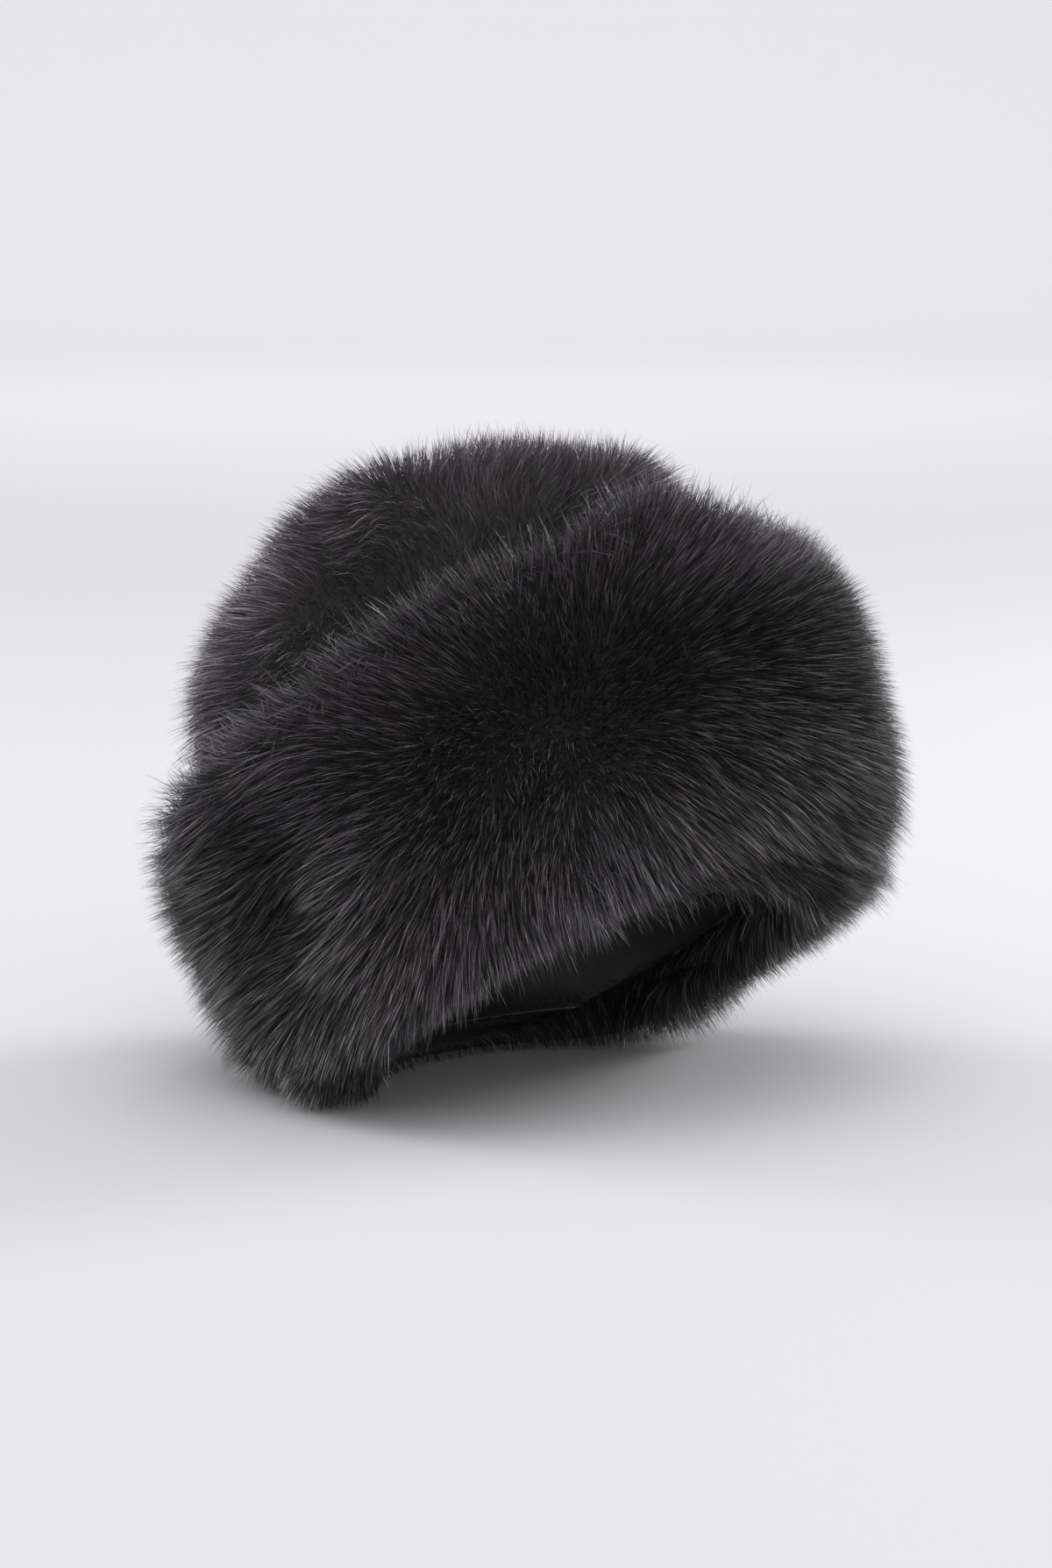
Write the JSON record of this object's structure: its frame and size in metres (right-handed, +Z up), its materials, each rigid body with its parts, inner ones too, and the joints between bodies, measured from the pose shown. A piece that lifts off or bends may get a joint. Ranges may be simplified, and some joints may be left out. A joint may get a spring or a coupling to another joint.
{
  "type": "fur hat",
  "caption": "Black deep-fur hat with a full crown and a tall rolled brim, satin lined, lying tilted on its back left side.",
  "frame": {"origin": "on the surface that the hat lies on, under the middle of its bounding box", "axes": "+Z up from that surface; -Y towards the raised front of the brim, +X towards the raised right side; the crown leans towards -X and +Y"},
  "size_m": [0.3018, 0.31, 0.2552],
  "materials": {
    "crown_fur": "deep glossy fur",
    "brim_fur": "deep glossy fur",
    "lining_satin": "smooth satin"
  },
  "bodies": {
    "root": {"crown": "crown_fur", "brim": "brim_fur", "lining": "lining_satin"}
  },
  "joints": []
}
